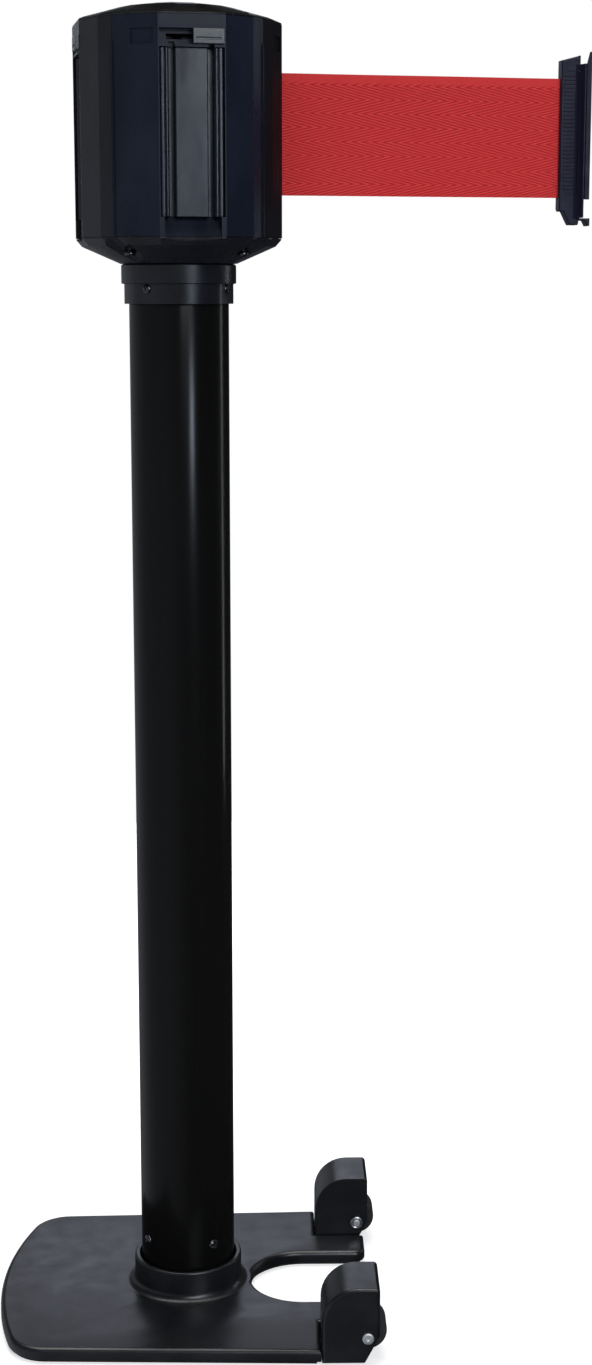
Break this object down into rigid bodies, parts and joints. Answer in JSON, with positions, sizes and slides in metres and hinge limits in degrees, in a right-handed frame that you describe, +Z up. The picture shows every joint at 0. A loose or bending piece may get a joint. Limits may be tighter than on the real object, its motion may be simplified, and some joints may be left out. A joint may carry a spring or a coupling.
{
  "type": "retractable belt stanchion",
  "caption": "Black crowd-control post on a weighted tilt-and-roll base, its head holding a retractable red woven belt with a clip and belt receivers.",
  "frame": {"origin": "on the floor under the post's axis, on the underside of the base's rubber pad", "axes": "+Z up the post, +X the way the belt leaves the head, -Y towards the receiver that faces the front"},
  "size_m": [0.4825, 0.2964, 1.027],
  "materials": {
    "cast_paint": "satin black powder coat over cast iron",
    "post_paint": "gloss black powder coat",
    "head_plastic": "semi-gloss black moulded ABS",
    "clip_plastic": "satin blue-black moulded plastic",
    "nylon": "moulded nylon",
    "tyre": "soft moulded tread",
    "rubber": "matt sheet rubber",
    "belt": "red woven herringbone polyester",
    "steel": "bright zinc-plated steel",
    "zinc_steel": "zinc-plated sheet",
    "black_steel": "black oxide",
    "cast": "as cast"
  },
  "bodies": {
    "post": {"floor_pad": "rubber", "base_plate": "cast_paint", "base_bolt": "steel", "front_wheel_fender": "cast_paint", "rear_wheel_fender": "cast_paint", "front_fender_screw": "steel", "rear_fender_screw": "steel", "front_axle_pin": "steel", "rear_axle_pin": "steel", "front_axle_clip": "steel", "rear_axle_clip": "steel", "post_tube": "post_paint", "foot_plug": "cast", "foot_screw_1": "black_steel", "foot_screw_2": "black_steel", "foot_screw_3": "black_steel", "foot_screw_4": "black_steel", "neck_collar": "head_plastic", "neck_plug": "cast", "neck_bolt": "black_steel", "collar_screw_1": "black_steel", "collar_screw_2": "black_steel", "collar_screw_3": "black_steel", "collar_screw_4": "black_steel", "head_cone": "head_plastic", "outlet_shell": "head_plastic", "rear_shell": "head_plastic", "left_shell": "head_plastic", "front_shell": "head_plastic", "belt_outlet": "head_plastic", "rear_receiver": "head_plastic", "left_receiver": "head_plastic", "front_receiver": "head_plastic", "head_cap": "head_plastic", "tie_screw_1": "black_steel", "tie_screw_2": "black_steel", "tie_screw_3": "black_steel", "tie_screw_4": "black_steel", "cassette_frame": "zinc_steel", "guide_pin_1": "steel", "guide_pin_2": "steel", "spool_axle": "steel", "spring_cover": "nylon", "recoil_spring": "steel"},
    "clip": {"clip_body": "clip_plastic", "clip_rail": "clip_plastic", "belt_wedge": "steel", "belt_web": "belt"},
    "spool": {"spool_drum": "nylon", "belt_roll": "belt"},
    "front_wheel": {"front_wheel_hub": "nylon", "front_wheel_tyre": "tyre"},
    "rear_wheel": {"rear_wheel_hub": "nylon", "rear_wheel_tyre": "tyre"},
    "front_lock": {"front_lock": "clip_plastic"},
    "rear_lock": {"rear_lock": "clip_plastic"},
    "left_lock": {"left_lock": "clip_plastic"}
  },
  "joints": [
    {"name": "belt_pull", "type": "slide", "parent": "post", "child": "clip", "axis": [1, 0, 0], "range_m": [-0.2235, 2.55], "stiffness_N_per_m": 4, "springref_m": -1.5, "deforming": ["belt_web"]},
    {"name": "spool_spin", "type": "hinge", "parent": "post", "child": "spool", "pos_m": [0, 0, 0.935], "axis": [0, 0, 1], "range_deg": [-6584, 580], "deforming": ["recoil_spring"]},
    {"name": "front_wheel_spin", "type": "hinge", "parent": "post", "child": "front_wheel", "pos_m": [0.12153, -0.12906, 0.0225], "axis": [0.1839, 0.9829, 0], "continuous": true},
    {"name": "rear_wheel_spin", "type": "hinge", "parent": "post", "child": "rear_wheel", "pos_m": [0.15998, 0.07637, 0.0225], "axis": [0.1839, 0.9829, 0], "continuous": true},
    {"name": "front_lock_slide", "type": "slide", "parent": "post", "child": "front_lock", "axis": [-1, 0, 0], "range_m": [0, 0.0225]},
    {"name": "rear_lock_slide", "type": "slide", "parent": "post", "child": "rear_lock", "axis": [1, 0, 0], "range_m": [0, 0.0225]},
    {"name": "left_lock_slide", "type": "slide", "parent": "post", "child": "left_lock", "axis": [0, 1, 0], "range_m": [0, 0.0225]}
  ],
  "couplings": [
    {"joint": "spool_spin", "follows": "belt_pull", "rad_per_m": -45.045}
  ]
}
